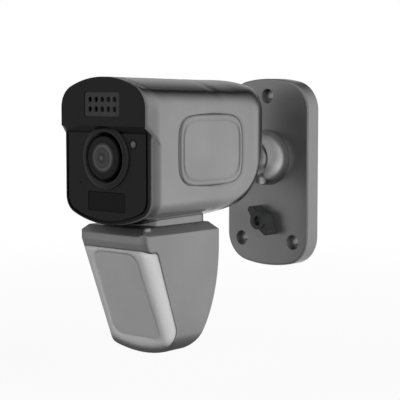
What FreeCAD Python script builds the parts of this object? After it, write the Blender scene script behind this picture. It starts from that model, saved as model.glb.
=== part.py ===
"""Floodlight security camera on a ball-joint wall bracket.

Row frame, millimetres: +Z is up, the camera looks along -Y, the wall is the
plane y = 0 and the origin is the middle of the bracket's back.
"""
import FreeCAD, Part
import math
import os
from FreeCAD import Vector

# ---------------------------------------------------------------- sizes (mm)
# wall plate
plate_width = 59.2
plate_height = 109.5
plate_thick = 9.8
plate_wall = 3.0            # front wall of the hollow casting
plate_rim = 3.4             # side wall of the hollow casting
plate_crown = 80.0          # radius of the arched top and bottom edges
plate_corner = 17.0
plate_edge = 1.2            # rounding of the front edge
cover_thick = 1.0
cover_ledge = 1.4           # width of the step that the back cover sits on
wall_screw_r = 2.25         # clearance hole for a 4 mm screw
wall_head_r = 4.3
wall_head_depth = 3.6
wall_boss_wall = 1.4
upper_screw_z = 44.6
lower_screw_z = -39.9
lower_screw_x = 18.9
cover_screw_r = 1.2
cover_screw_head_r = 2.3
cover_screw_length = 4.6
cover_screw_x = 22.6
cover_screw_zs = (27.5, -14.0)
# ball joint
joint_z = 8.8               # ball axis above the middle of the plate
ball_r = 11.7
ball_cover_gap = 0.2        # ball to back cover
seat_gap = 0.12             # ball to its two seats
dome_r = 16.1
dome_mouth_r = 10.7         # outer edge of the dome's lip
dome_lip = 0.9
dome_throat_r = 9.4
dome_flange = 2.5
dome_flange_thick = 1.6
dome_gap = 0.12             # dome to plate
notch_r = 7.2
stem_r = 4.8
stud_r = 3.0                # 6 mm thread
stud_grip = 7.0             # thread length inside the camera
stem_free = 8.262           # ball to lock nut
thread_gap = 0.06
nut_flats = 12.0
nut_thick = 4.0
nut_gap = 0.1
insert_wall = 2.2
boss_cap = 1.5              # boss beyond the thread
boss_wall = 1.8             # boss round the insert
# clamp
knob_z = -27.9
clamp_screw_r = 2.5         # 5 mm thread
lever_thick = 2.7
lever_width = 27.0
lever_tail = 13.0
lever_gap = 0.4             # lever to dome flange
fulcrum_z = 31.5
fulcrum_r = 1.35
fulcrum_width = 20.0
clamp_nut_flats = 8.0
knob_hub_r = 5.0
knob_reach = 10.3           # axis to wing tip
knob_depth = 9.2
knob_wing_base = 6.6
knob_wing_tip = 4.0
knob_angle = 49.0           # wings above the horizontal
knob_gap = 0.3
# camera housing
half_width = 32.3
top_z = 55.35
bottom_z = -19.85
shell_crown = 56.0          # radius of the arched top
shell_corner = 12.0
belly_crown = 70.0          # radius of the arched underside
belly = 1.0                 # the underside hangs this much lower at the front
chin_crown = 60.0           # the front moulding's underside
chin_drop = 0.35
chin_corner = 9.5
shell_wall = 2.4
top_fall = 1.45             # the top line sinks this much towards the rear
tail_length = 36.0
tail_stop = 72.0            # angle at which the rounded rear ends flat
tail_round = 0.79           # exponent of the side rounding
tail_top_drop = 20.0
keel_start = 50.5           # behind the front panel, where the underside starts to rise
keel_rise = 20.0
keel_power = 2.45
tail_corner_top = 8.0       # growth of the corner radii towards the rear end
tail_corner_low = 20.0
bevel_width = 2.3
bevel_length = 5.2
collar_wall = 1.3            # housing round the hood
collar_back = 1.2
rim_step = 1.2              # front panel to the shell's edge
# side cover
cover_y = 44.6              # middle, behind the front panel
cover_z = 17.73
cover_long = 48.4
cover_high = 35.2
cover_corner = 9.0
cover_bulge = 120.0         # radius of its bowed edges
cover_lip = 1.3
cover_groove = 1.2
cover_depth = 1.3
cover_line = 0.5            # fine groove inside the lip
# hood and front panel
hood_out = 3.1
hood_lip = 0.45             # black edge in front of the housing's collar
hood_edge_z = 30.45
panel_inset = 2.2
panel_groove = 1.2
panel_thick = 1.6
bezel_floor = 1.6
skirt_depth = 7.0
skirt_inset = 2.65
rim_ledge = 0.8             # shell's edge left round the front moulding's floor
skirt_wall = 1.6
slip = 0.15                 # slip fit between moulded pieces
bezel_round = 0.35
# speaker
grille_width = 24.8
grille_low_z = 35.2
grille_high_z = 47.5
grille_corner = 1.4
grille_thick = 1.2
grille_sink = 0.35
grille_hole_r = 1.45
grille_pitch_x = 4.4
grille_pitch_z = 4.9
grille_columns = 5
grille_rows = 2
speaker_depth = 5.0
cone_thick = 0.5
# lens
lens_z = 14.25
ring_base_r = 16.0
ring_step = 1.0             # upright outer wall
ring_lip_r = 14.2
ring_lip = 0.8
ring_out = 1.8
ring_bore_r = 12.9
barrel_r = 11.0
barrel_out = 2.7
barrel_tail_r = 7.0
barrel_shoulder = 7.0
glass_r = 6.6
glass_bezel_r = 7.7
glass_thick = 2.2
glass_bulge = 14.0          # radius of the front glass
glass_ring_deep = 1.6
element_r = 4.6
element_thick = 1.6
element_count = 2
holder_side = 19.0
sensor_side = 8.0
sensor_thick = 1.0
# front board and what it carries
front_board_gap = 2.4       # panel floor to front board
board_thick = 1.2
front_board_width = 50.0
front_board_low = -15.0
front_board_high = 28.5
main_board_y = 23.0         # behind the front panel
main_board_width = 46.0
main_board_low = -13.0
main_board_high = 46.0
post_r = 2.4
board_screw_r = 1.0
board_screw_head_r = 1.9
board_screw_head = 1.2
board_screw_grip = 5.0
eye_x = 19.0
eye_z = 21.5
eye_r = 2.5
mic_x = -18.8
mic_z = 0.7
mic_hole_r = 0.5
window_width = 25.8
window_low = -12.95
window_high = -3.75
pir_r = 4.6
pir_height = 2.0
night_led_x = 9.0
night_led_r = 1.5
shield_side = 22.0
shield_high = 2.4
post_inset = 4.0            # posts of the main board
post_top_inset = 6.0
front_board_corner = 5.0
board_clear = 0.3           # front board to the skirt
holder_base = 4.0
holder_wall = 1.6
holder_corner = 1.5
sensor_room = 3.5
sensor_gap = 0.6
# power
board_ahead = 38.0
cell_r = 9.2
cell_length = 65.0
cell_x = 9.9
cell_z = 8.4
cell_front = 29.0           # behind the front panel
cell_tip = 1.0
cell_tip_r = 2.8
cradle_wall = 1.4
foot_wide = 8.0
foot_long = 5.0
foot_pitch = 30.0
cradle_cap = 1.6
cradle_clear = 1.138        # cradle to the stud's boss
rail_z = 21.0
rail_width = 4.0
rail_thick = 2.0
tray_front = 30.0
tray_length = 66.0
tray_thick = 1.6
power_board_width = 34.0
power_board_length = 52.0
power_post = 2.5
corner_inset_x = 3.0        # posts of the power board
corner_inset_y = 4.0
inlet_width = 9.0
inlet_high = 3.3
inlet_length = 7.4
plug_width = 14.0
plug_high = 8.0
antenna_width = 9.0
antenna_length = 46.0
antenna_thick = 0.5
# lamp
neck_half = 18.8
neck_front = 13.0           # behind the front panel
neck_screw_x = 6.5
neck_screw_y = 7.0
fin_inset = 8.0
neck_length = 44.4
neck_corner = 6.0
neck_wall = 2.2
lamp_half = 23.5
lamp_front = 2.2            # behind the front panel
lamp_rear = 61.1
lamp_top = -21.45
lamp_bottom = -90.2
lamp_chamfer = 4.1
lamp_brow = 3.2             # upright strip above the slanted face
lamp_slant = 21.3           # degrees from upright
lamp_belly_y = 28.5         # where the curved back meets the bottom
lamp_heel_z = -33.5         # where the curved back begins
lamp_crown = 62.0
lamp_corner = 9.0
lamp_wall = 2.2
lamp_round = 4.5            # rounding of the upright front corners
glow_top = 4.0              # slanted face above the light cover
glow_chin = 2.4             # housing strip under the light cover
glow_wrap = 9.9             # how far the light cover reaches back along the sides, at its top
glow_wrap_low = 7.3
glow_corner = 3.0
glow_corner_low = 6.0
glow_wall = 2.0
pane_half_top = 14.9
pane_half_low = 16.4
pane_high = 49.4
pane_start = 2.6            # light cover's top edge to the pane
pane_corner = 5.5
lug_width = 5.5
lug_depth = 4.5
lug_high = 3.4
led_gap = 7.0               # face to LED board
led_board_half = 14.5
led_board_high = 46.0
led_board_thick = 1.6
led_columns = 3
led_rows = 6
led_width = 3.5
led_high = 2.8
led_thick = 0.8
led_pitch_x = 9.0
led_pitch_z = 7.2
sink_base = 2.0
sink_fin = 1.4
sink_fin_deep = 8.0
sink_fins = 5
tray_wall = 1.4
driver_thick = 1.4
driver_half = 15.0
driver_length = 30.0
lead_r = 0.9
lead_x = 1.6
fix_screw_r = 1.4           # neck and tray screws
fix_head_r = 2.6
fix_head = 1.8

# ------------------------------------------------------------- places
ball_y = -(cover_thick + ball_cover_gap + ball_r)
camera_rear_y = ball_y - ball_r - stem_free - nut_thick - nut_gap
tail_y = camera_rear_y - tail_length * math.sin(math.radians(tail_stop))
cell_rear_y = camera_rear_y - stud_grip - boss_cap - cradle_clear - cradle_cap
cell_front_y = cell_rear_y - cell_length
front_y = cell_front_y - cell_front
keel_y = front_y + keel_start
plate_front_y = -plate_thick
plate_inner_y = plate_front_y + plate_wall
flange_front_y = plate_inner_y + dome_gap
flange_rear_y = flange_front_y + dome_flange_thick
lever_front_y = flange_rear_y + lever_gap
lever_rear_y = lever_front_y + lever_thick
dome_y = plate_front_y - 0.9
dome_mouth_y = dome_y - math.sqrt(dome_r ** 2 - dome_mouth_r ** 2)
floor_y = front_y + panel_thick
floor_rear_y = floor_y + bezel_floor
front_board_y = floor_rear_y + front_board_gap
main_front_y = front_y + main_board_y
main_rear_y = main_front_y + board_thick
underside_z = hood_edge_z - (hood_out + 0.7)
tray_z = rail_z + rail_thick
joint_x = 0.0
board_front_y = tail_y - board_ahead


# ------------------------------------------------------------- helpers
def at(x, y, z):
    return Vector(x, y, z)


def solid_of(shape):
    """The one solid of a boolean result, with split faces merged."""
    clean = shape.removeSplitter()
    return clean.Solids[0] if len(clean.Solids) == 1 else clean


def block(x0, x1, y0, y1, z0, z1):
    return Part.makeBox(x1 - x0, y1 - y0, z1 - z0, at(x0, y0, z0))


def rod(x, z, y0, y1, r):
    """Cylinder along Y."""
    return Part.makeCylinder(r, y1 - y0, at(x, y0, z), at(0, 1, 0))


def drop(x, y, z0, z1, r):
    """Cylinder along Z."""
    return Part.makeCylinder(r, z1 - z0, at(x, y, z0), at(0, 0, 1))


def ring(x, z, y0, y1, r_out, r_in):
    return rod(x, z, y0, y1, r_out).cut(rod(x, z, y0, y1, r_in))


def line(p, q):
    return Part.LineSegment(p, q).toShape()


def arc(p, q, r):
    return Part.Arc(p, q, r).toShape()


def joined(edges):
    return Part.Wire(Part.__sortEdges__(edges))


def turned(edges, x, z):
    """Solid turned about the line along Y through (x, z); edges lie in z = 0."""
    body = Part.Face(joined(edges)).revolve(at(0, 0, 0), at(0, 1, 0), 360)
    body.translate(at(x, 0, z))
    return Part.Solid(body) if body.ShapeType == "Shell" else body


def turned_path(points, x, z):
    """Turned solid from (radius, y) corners."""
    corners = [at(r, y, 0) for r, y in points]
    edges = [line(a, b) for a, b in zip(corners, corners[1:] + corners[:1])]
    return turned(edges, x, z)


def cap_edges(half, z_edge, crown, corner, y, way):
    """Half of an arched outline: a crown arc and its two corner arcs."""
    mid = z_edge - way * crown
    reach_x = half - corner
    rise = math.sqrt((crown - corner) ** 2 - reach_x ** 2)
    corner_z = mid + way * rise
    grow = crown / (crown - corner)
    touch = (reach_x * grow, mid + way * rise * grow)
    tilt = math.atan2(rise, reach_x) / 2
    bow = (reach_x + corner * math.cos(tilt), corner_z + way * corner * math.sin(tilt))
    edges = [arc(at(-touch[0], y, touch[1]), at(0, y, z_edge), at(touch[0], y, touch[1]))]
    for side in (-1, 1):
        edges.append(arc(at(side * touch[0], y, touch[1]), at(side * bow[0], y, bow[1]),
                         at(side * half, y, corner_z)))
    return edges, corner_z


def arched(half, z_low, z_high, crown, corner, y, low_crown=None, low_corner=None):
    """Closed outline in the plane y with arched top and bottom and straight sides."""
    top, top_side = cap_edges(half, z_high, crown, corner, y, 1)
    low, low_side = cap_edges(half, z_low, low_crown or crown, low_corner or corner, y, -1)
    sides = [line(at(s * half, y, low_side), at(s * half, y, top_side)) for s in (-1, 1)]
    return joined(top + low + sides)


def arched_slab(half, z_low, z_high, crown, corner, y0, y1):
    return Part.Face(arched(half, z_low, z_high, crown, corner, y0)).extrude(at(0, y1 - y0, 0))


def soft_block(x0, x1, y0, y1, z0, z1, r, axis):
    """Box whose four edges along the axis are rounded."""
    body = block(x0, x1, y0, y1, z0, z1)
    way = {"x": at(1, 0, 0), "y": at(0, 1, 0), "z": at(0, 0, 1)}[axis]
    edges = [e for e in body.Edges if abs(e.tangentAt(e.FirstParameter).dot(way)) > 0.99]
    return body.makeFillet(r, edges)


def hexagon(x, z, y0, y1, flats):
    across = flats / math.sqrt(3)
    turns = [math.radians(60 * k + 30) for k in range(7)]
    points = [at(x + across * math.cos(a), y0, z + across * math.sin(a)) for a in turns]
    return Part.Face(Part.makePolygon(points)).extrude(at(0, y1 - y0, 0))


def screw(x, z, y_head, y_tip, r, head_r, head):
    """Pan-head screw along Y; the head's underside is at y_head, the tip at y_tip."""
    way = 1 if y_tip > y_head else -1
    shank = Part.makeCylinder(r, abs(y_tip - y_head), at(x, y_head, z), at(0, way, 0))
    cap = Part.makeCylinder(head_r, head, at(x, y_head, z), at(0, -way, 0))
    socket = Part.makeCylinder(head_r * 0.45, head / 2, at(x, y_head - way * head, z), at(0, way, 0))
    return shank.fuse(cap).cut(socket)


# ------------------------------------------------------------- wall bracket
wall_screws = ((0.0, upper_screw_z), (-lower_screw_x, lower_screw_z), (lower_screw_x, lower_screw_z))
cover_screws_at = [(s * cover_screw_x, z) for s in (-1, 1) for z in cover_screw_zs]


def plate_shape(inset, y0, y1):
    half = plate_width / 2 - inset
    tall = plate_height / 2 - inset
    return arched_slab(half, -tall, tall, plate_crown - inset, plate_corner - inset, y0, y1)


def wall_plate():
    body = plate_shape(0, plate_front_y, 0)
    face = [f for f in body.Faces if abs(f.CenterOfMass.y - plate_front_y) < 1e-6][0]
    body = body.makeFillet(plate_edge, face.Edges)
    body = body.cut(plate_shape(plate_rim, plate_inner_y, 0))
    body = body.cut(plate_shape(plate_rim - cover_ledge, -cover_thick, 0))
    boss_r = wall_head_r + wall_boss_wall
    for x, z in wall_screws:
        body = body.fuse(rod(x, z, plate_front_y + plate_edge, -cover_thick, boss_r))
        body = body.cut(rod(x, z, plate_front_y, 0, wall_screw_r))
        body = body.cut(rod(x, z, plate_front_y, plate_front_y + wall_head_depth, wall_head_r))
    for x, z in cover_screws_at:
        body = body.fuse(rod(x, z, plate_inner_y - 0.5, -cover_thick, cover_screw_head_r + 0.6))
        body = body.cut(cover_screw(x, z, 0.02))
    for side in (-1, 1):
        x0 = side * (fulcrum_width / 2 + 0.3)
        x1 = x0 + side * 3.0
        y1 = -cover_thick
        post = block(min(x0, x1), max(x0, x1), plate_inner_y - 0.5, y1, fulcrum_z - 3.0, fulcrum_z + 3.0)
        body = body.fuse(post)
    body = body.cut(rod(joint_x, joint_z, plate_front_y - 1, plate_inner_y + 0.5, dome_r + dome_gap))
    body = body.cut(rod(joint_x, joint_z, plate_inner_y, -cover_thick, dome_r + dome_flange + 0.4))
    body = body.fuse(rod(0, knob_z, plate_inner_y - 0.5, plate_inner_y + 1.0, clamp_screw_r + 2.0))
    body = body.cut(rod(0, knob_z, plate_front_y - 1, plate_inner_y + 2.0, clamp_screw_r + thread_gap))
    return body


def back_cover():
    body = plate_shape(plate_rim - cover_ledge + slip, -cover_thick, 0)
    for x, z in wall_screws:
        body = body.cut(rod(x, z, -cover_thick, 0, wall_screw_r + 0.4))
    for x, z in cover_screws_at:
        body = body.cut(cover_screw(x, z, 0.05))
    return body


def cover_screw(x, z, gap):
    """Countersunk screw, flush with the wall face; a gap makes its hole."""
    neck_r = cover_screw_r + gap
    head = cover_screw_head_r + gap
    deep = cover_screw_head_r - cover_screw_r
    cone = Part.makeCone(neck_r, head, deep, at(x, -deep, z), at(0, 1, 0))
    return cone.fuse(rod(x, z, -cover_screw_length, -deep, neck_r))


def cover_screws():
    return Part.makeCompound([cover_screw(x, z, -0.02) for x, z in cover_screws_at])


def socket_dome():
    """Turned dome: round outside, ball seat inside, flange behind the plate."""
    seat = ball_r + seat_gap
    throat_y = ball_y - math.sqrt(seat ** 2 - dome_throat_r ** 2)
    start = math.asin((dome_y - dome_mouth_y) / dome_r)
    dome_mid = start / 2
    seat_start = math.asin((ball_y - throat_y) / seat)
    flange_r = dome_r + dome_flange
    p = [at(flange_r, flange_rear_y, 0), at(flange_r, flange_front_y, 0), at(dome_r, flange_front_y, 0),
         at(dome_r, dome_y, 0), at(dome_mouth_r, dome_mouth_y, 0),
         at(dome_mouth_r - dome_lip, dome_mouth_y, 0), at(dome_throat_r, throat_y, 0),
         at(seat, ball_y, 0), at(seat, flange_rear_y, 0)]
    dome_bow = at(dome_r * math.cos(dome_mid), dome_y - dome_r * math.sin(dome_mid), 0)
    seat_bow = at(seat * math.cos(seat_start / 2), ball_y - seat * math.sin(seat_start / 2), 0)
    edges = [line(p[0], p[1]), line(p[1], p[2]), line(p[2], p[3]), arc(p[3], dome_bow, p[4]),
             line(p[4], p[5]), line(p[5], p[6]), arc(p[6], seat_bow, p[7]), line(p[7], p[8]),
             line(p[8], p[0])]
    body = turned(edges, joint_x, joint_z)
    notch = Part.makeCylinder(notch_r, dome_r + 2, at(joint_x, dome_mouth_y, joint_z), at(0, 0, -1))
    return body.cut(notch)


def ball_stud():
    ball = Part.makeSphere(ball_r, at(joint_x, ball_y, joint_z))
    shoulder_y = camera_rear_y + nut_gap + nut_thick
    stem = rod(joint_x, joint_z, shoulder_y, ball_y, stem_r)
    thread = rod(joint_x, joint_z, camera_rear_y - stud_grip, shoulder_y, stud_r)
    return solid_of(ball.fuse([stem, thread]))


def lock_nut():
    y0 = camera_rear_y + nut_gap
    body = hexagon(joint_x, joint_z, y0, y0 + nut_thick, nut_flats)
    bound = Part.makeCone(nut_flats * 0.5, nut_flats * 0.5 + 3, 3, at(joint_x, y0, joint_z), at(0, 1, 0))
    body = body.common(bound.fuse(rod(joint_x, joint_z, y0 + 2.5, y0 + nut_thick, nut_flats)))
    return body.cut(rod(joint_x, joint_z, y0 - 1, y0 + nut_thick + 1, stud_r + 0.02))


def clamp_lever():
    """Flat lever: a bead at the top to tip on, a ball seat, a hex pocket for the nut."""
    tail_low = knob_z - lever_tail / 2
    half = lever_width / 2
    tail = lever_tail / 2
    outline = [at(-half, lever_front_y, fulcrum_z), at(half, lever_front_y, fulcrum_z),
               at(half, lever_front_y, joint_z - half / 2), at(tail, lever_front_y, knob_z + tail * 1.5),
               at(tail, lever_front_y, tail_low), at(-tail, lever_front_y, tail_low),
               at(-tail, lever_front_y, knob_z + tail * 1.5), at(-half, lever_front_y, joint_z - half / 2)]
    plate = Part.Face(Part.makePolygon(outline + outline[:1])).extrude(at(0, lever_thick, 0))
    trim = fulcrum_width / 2
    for side in (-1, 1):
        x0, x1 = sorted((side * trim, side * (half + 1)))
        plate = plate.cut(block(x0, x1, lever_front_y - 1, lever_rear_y + 1, fulcrum_z - 4, fulcrum_z + 4))
    bead_y = (lever_front_y + lever_rear_y) / 2
    bead = Part.makeCylinder(fulcrum_r, 2 * trim, at(-trim, bead_y, fulcrum_z), at(1, 0, 0))
    body = plate.fuse(bead)
    body = body.cut(Part.makeSphere(ball_r + seat_gap, at(joint_x, ball_y, joint_z)))
    body = body.cut(rod(joint_x, joint_z, lever_front_y - 1, lever_rear_y + 1, ball_r * 0.42))
    return body.cut(hexagon(0, knob_z, lever_front_y - 1, lever_rear_y + 1, clamp_nut_flats + 0.04))


def clamp_nut():
    body = hexagon(0, knob_z, lever_front_y, lever_rear_y, clamp_nut_flats)
    return body.cut(rod(0, knob_z, lever_front_y - 1, lever_rear_y + 1, clamp_screw_r + 0.08))


knob_rear_y = plate_front_y - knob_gap
knob_front_y = knob_rear_y - knob_depth


def wing_knob():
    hub = rod(0, knob_z, knob_front_y, knob_rear_y, knob_hub_r)
    body = hub
    base = knob_wing_base / 2
    tip = knob_wing_tip / 2
    wing_y = knob_front_y + 0.9
    for side in (-1, 1):
        flank = [at(0, wing_y, base), at(side * (knob_reach - tip), wing_y, tip),
                 at(side * knob_reach, wing_y, 0), at(side * (knob_reach - tip), wing_y, -tip),
                 at(0, wing_y, -base)]
        rim = [line(flank[0], flank[1]), arc(flank[1], flank[2], flank[3]), line(flank[3], flank[4]),
               line(flank[4], flank[0])]
        wing = Part.Face(joined(rim)).extrude(at(0, knob_rear_y - wing_y, 0))
        wing.translate(at(0, 0, knob_z))
        wing.rotate(at(0, 0, knob_z), at(0, 1, 0), knob_angle)
        body = body.fuse(wing)
    body = body.cut(rod(0, knob_z, knob_front_y, knob_front_y + 2.2, knob_hub_r * 0.55))
    return body.cut(rod(0, knob_z, knob_front_y + 4.0, knob_rear_y, clamp_screw_r))


def clamp_screw():
    """Screw moulded into the knob; it runs through the plate and the lever's nut."""
    return rod(0, knob_z, knob_front_y + 4.0, lever_rear_y, clamp_screw_r)


# ------------------------------------------------------------- camera housing
def housing_section(inset, y):
    """Arched section of the housing at y: straight, then rounded in with a rising underside."""
    along = (y - front_y) / (tail_y - front_y)
    sag = belly * max(1 - (y - front_y) / keel_start, 0)
    turn = min(max(y - tail_y, 0) / (tail_length - inset), 1)
    c = math.sqrt(1 - turn ** 2)
    keel = (max(y - keel_y, 0) / (camera_rear_y - keel_y)) ** keel_power
    side = (half_width - inset) * c ** tail_round
    top = top_z - top_fall * min(along, 1) - inset - tail_top_drop * (1 - c) ** 2
    low = bottom_z + inset + keel_rise * keel - sag
    largest = 0.94 * side
    top_corner = min(shell_corner - inset + tail_corner_top * (1 - c), largest)
    low_corner = min(shell_corner - inset + tail_corner_low * keel, largest)
    return arched(side, low, top, shell_crown - inset, top_corner, y, belly_crown - inset, low_corner)


def housing_volume(inset, y0):
    """Straight barrel with an arched section, closed by a rounded, upswept rear."""
    stops = [keel_y + (tail_y - keel_y) * t for t in (0, 0.35, 0.7, 1)]
    for angle in (16, 32, 46, 57, 66, tail_stop):
        stops.append(tail_y + (tail_length - inset) * math.sin(math.radians(angle)))
    barrel = Part.makeLoft([housing_section(inset, y0), housing_section(inset, keel_y)], True, True)
    rear = Part.makeLoft([housing_section(inset, y) for y in stops], True, False)
    return barrel.fuse(rear)


def bevelled_front(y0, y1):
    """Ruled band from the front outline to the full section behind the side bevels."""
    return Part.makeLoft([front_wire(0, y0), housing_section(0, y1)], True, True)


def above_hood(rise, y0, y1):
    """Space above the hood's sloping underside, raised a little, between two depths."""
    wide = half_width + 5
    z0 = hood_edge_z + rise - (y0 - front_y + hood_out)
    z1 = hood_edge_z + rise - (y1 - front_y + hood_out)
    corners = [at(-wide, y0, z0), at(-wide, y1, z1), at(-wide, y1, top_z + 5), at(-wide, y0, top_z + 5)]
    return Part.Face(Part.makePolygon(corners + corners[:1])).extrude(at(2 * wide, 0, 0))


def squircle(y_mid, z_mid, long, high, corner, x):
    """Outline in the plane x with four bowed edges and round corners."""
    def bowed(half, limit):
        return cover_bulge - math.sqrt(cover_bulge ** 2 - limit ** 2), half
    hy, hz = long / 2, high / 2
    sag_y, _ = bowed(hy, hz - corner)
    sag_z, _ = bowed(hz, hy - corner)
    flat_y, flat_z = hy - corner, hz - corner
    edges = []
    for s in (-1, 1):
        edges.append(arc(at(x, y_mid - flat_y, z_mid + s * (hz - sag_z)), at(x, y_mid, z_mid + s * hz),
                         at(x, y_mid + flat_y, z_mid + s * (hz - sag_z))))
        edges.append(arc(at(x, y_mid + s * (hy - sag_y), z_mid - flat_z), at(x, y_mid + s * hy, z_mid),
                         at(x, y_mid + s * (hy - sag_y), z_mid + flat_z)))
        for t in (-1, 1):
            bow = math.cos(math.radians(45))
            mid = at(x, y_mid + t * (flat_y + (corner - sag_y) * bow),
                     z_mid + s * (flat_z + (corner - sag_z) * bow))
            edges.append(arc(at(x, y_mid + t * flat_y, z_mid + s * (hz - sag_z)), mid,
                             at(x, y_mid + t * (hy - sag_y), z_mid + s * flat_z)))
    return joined(edges)


def side_pad(grow, x0, x1):
    outline = squircle(front_y + cover_y, cover_z, cover_long + 2 * grow, cover_high + 2 * grow,
                       cover_corner + grow, x0)
    return Part.Face(outline).extrude(at(x1 - x0, 0, 0))


def body_shell():
    edge_y = front_y + rim_step
    bevel_y = edge_y + bevel_length
    collar_y = front_y - hood_out + hood_lip
    collar = bevelled_front(collar_y, bevel_y - collar_back).common(above_hood(slip, collar_y - 1, bevel_y))
    body = housing_volume(0, bevel_y - collar_back).fuse(collar)
    below = above_hood(0, front_y - 10, bevel_y + 1)
    taper = front_outline(-5, edge_y - 9, bevel_y).cut(bevelled_front(edge_y, bevel_y)).cut(below)
    body = body.cut(taper).fuse(bevelled_front(edge_y, bevel_y))
    body = body.cut(front_outline(collar_wall, collar_y - 1, edge_y))
    deep_y = floor_rear_y + 0.2
    body = body.cut(housing_volume(shell_wall, front_y + skirt_depth + 1.0))
    body = body.cut(front_outline(rim_ledge, edge_y - 1, deep_y))
    body = body.cut(front_outline(skirt_inset - slip, edge_y - 1, front_y + skirt_depth + 1.1))
    for side in (-1, 1):
        outer = side * (half_width + 1)
        inner = side * (half_width - cover_depth)
        body = body.cut(side_pad(cover_groove, outer, inner))
        rail_in = side * (half_width - shell_wall - rail_width)
        x0, x1 = sorted((rail_in, side * (half_width - shell_wall + 0.3)))
        body = body.fuse(block(x0, x1, front_y + tray_front, tail_y + 8, rail_z, rail_z + rail_thick))
    insert_r = stud_r + insert_wall
    boss_front_y = camera_rear_y - stud_grip - boss_cap
    body = body.fuse(rod(joint_x, joint_z, boss_front_y, camera_rear_y - 0.5, insert_r + boss_wall))
    body = body.cut(rod(joint_x, joint_z, boss_front_y - 0.5, camera_rear_y + 1, insert_r))
    body = body.cut(neck_channel(bottom_z - 5, bottom_z + shell_wall + 8))
    for x, y in neck_screws_at:
        body = body.cut(drop(x, y, bottom_z - 3, bottom_z + shell_wall + 6, fix_screw_r + 0.1))
    pocket = inlet_slot(plug_width, plug_high, camera_rear_y - 1.0, camera_rear_y + 3)
    hole = inlet_slot(inlet_width + 0.6, inlet_high + 0.6, camera_rear_y - shell_wall - 2, camera_rear_y)
    return body.cut(pocket).cut(hole)


def side_cover(side):
    """Bowed pad with a rounded raised lip, set in a recess of the housing's side."""
    floor = side * (half_width - cover_depth)
    lip = side * (half_width + 0.75)
    far = side * (half_width + 2)
    pad = side_pad(0, floor, lip)
    rim = [f for f in pad.Faces if abs(f.CenterOfMass.x - lip) < 1e-6][0]
    pad = pad.makeFillet(0.5, rim.Edges)
    pad = pad.cut(side_pad(-cover_lip, side * (half_width - 0.35), far))
    return pad.fuse(side_pad(-cover_lip - cover_line, floor, side * (half_width + 0.2)))


def stud_insert():
    y0 = camera_rear_y - stud_grip - 0.5
    return ring(joint_x, joint_z, y0, camera_rear_y, stud_r + insert_wall, stud_r + thread_gap)


# ------------------------------------------------------------- front
def front_wire(inset, y):
    half = half_width - bevel_width - inset
    low = bottom_z - chin_drop + inset
    return arched(half, low, top_z - inset, shell_crown - inset, max(shell_corner - inset, 1), y,
                  chin_crown - inset, max(chin_corner - inset, 1))


def front_outline(inset, y0, y1):
    return Part.Face(front_wire(inset, y0)).extrude(at(0, y1 - y0, 0))


def panel_shape(inset, y0, y1):
    """Inset lower face, cut off level under the hood."""
    body = front_outline(panel_inset + inset, y0, y1)
    wide = half_width + 5
    return body.cut(block(-wide, wide, y0 - 1, y1 + 1, underside_z - inset, top_z + 5))


posts_at = [(s * (main_board_width / 2 - post_inset), z) for s in (-1, 1)
            for z in (main_board_low + post_inset, main_board_high - post_top_inset)]


def front_bezel():
    """Black front moulding: rim, floor behind the panel, skirt, hood and board posts."""
    body = front_outline(0, front_y, front_y + rim_step)
    outer = [f for f in body.Faces if abs(f.CenterOfMass.y - front_y) < 1e-6][0]
    body = body.makeFillet(bezel_round, outer.Edges)
    body = body.fuse(front_outline(rim_ledge + slip, front_y + rim_step - 0.1, floor_rear_y))
    hood = front_outline(0, front_y - hood_out, front_y - hood_out + hood_lip)
    hood_face = [f for f in hood.Faces if abs(f.CenterOfMass.y - (front_y - hood_out)) < 1e-6][0]
    hood = hood.makeFillet(bezel_round, hood_face.Edges)
    behind_lip = front_y - hood_out + hood_lip
    hood = hood.fuse(front_outline(collar_wall + slip, behind_lip - 0.1, front_y + bezel_round + 0.1))
    hood = hood.common(above_hood(0, front_y - hood_out - 1, front_y + 1))
    room = above_hood(0, behind_lip - slip / 2, front_y + rim_step + 1)
    body = body.cut(room.cut(front_outline(collar_wall + slip, behind_lip - 1, front_y + rim_step + 2)))
    body = body.fuse(hood)
    body = body.cut(panel_shape(-panel_groove, front_y - 0.01, floor_y))
    body = body.fuse(skirt_band(floor_rear_y - 0.5, front_y + skirt_depth))
    for x, z in posts_at:
        body = body.fuse(rod(x, z, floor_rear_y - 0.5, main_front_y, post_r))
        body = body.cut(rod(x, z, main_front_y - board_screw_grip, main_front_y, board_screw_r))
    y0, y1 = front_y - hood_out, floor_rear_y
    body = body.cut(grille_slab(0.15, y0 - 1, y0 + grille_sink + grille_thick))
    body = body.cut(grille_slab(-1.6, y0 - 1, y1 + 1))
    body = body.cut(rod(0, lens_z, front_y - hood_out - 1, front_y, ring_base_r + slip))
    body = body.cut(rod(0, lens_z, front_y - 2, y1 + 1, ring_bore_r + 1.4))
    body = body.cut(rod(eye_x, eye_z, front_y - 1, y1 + 1, eye_r - 0.5))
    body = body.cut(rod(mic_x, mic_z, front_y - 1, y1 + 1, mic_hole_r + 0.3))
    return body.cut(window_slab(-1.2, front_y - 1, y1 + 1))


def skirt_band(y0, y1):
    """Band that slides into the housing's front opening."""
    inner = front_outline(skirt_inset + skirt_wall, y0 - 1, y1 + 1)
    return front_outline(skirt_inset, y0, y1).cut(inner)


def window_slab(grow, y0, y1):
    half = window_width / 2 + grow
    return soft_block(-half, half, y0, y1, window_low - grow, window_high + grow, 0.5, "y")


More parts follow.
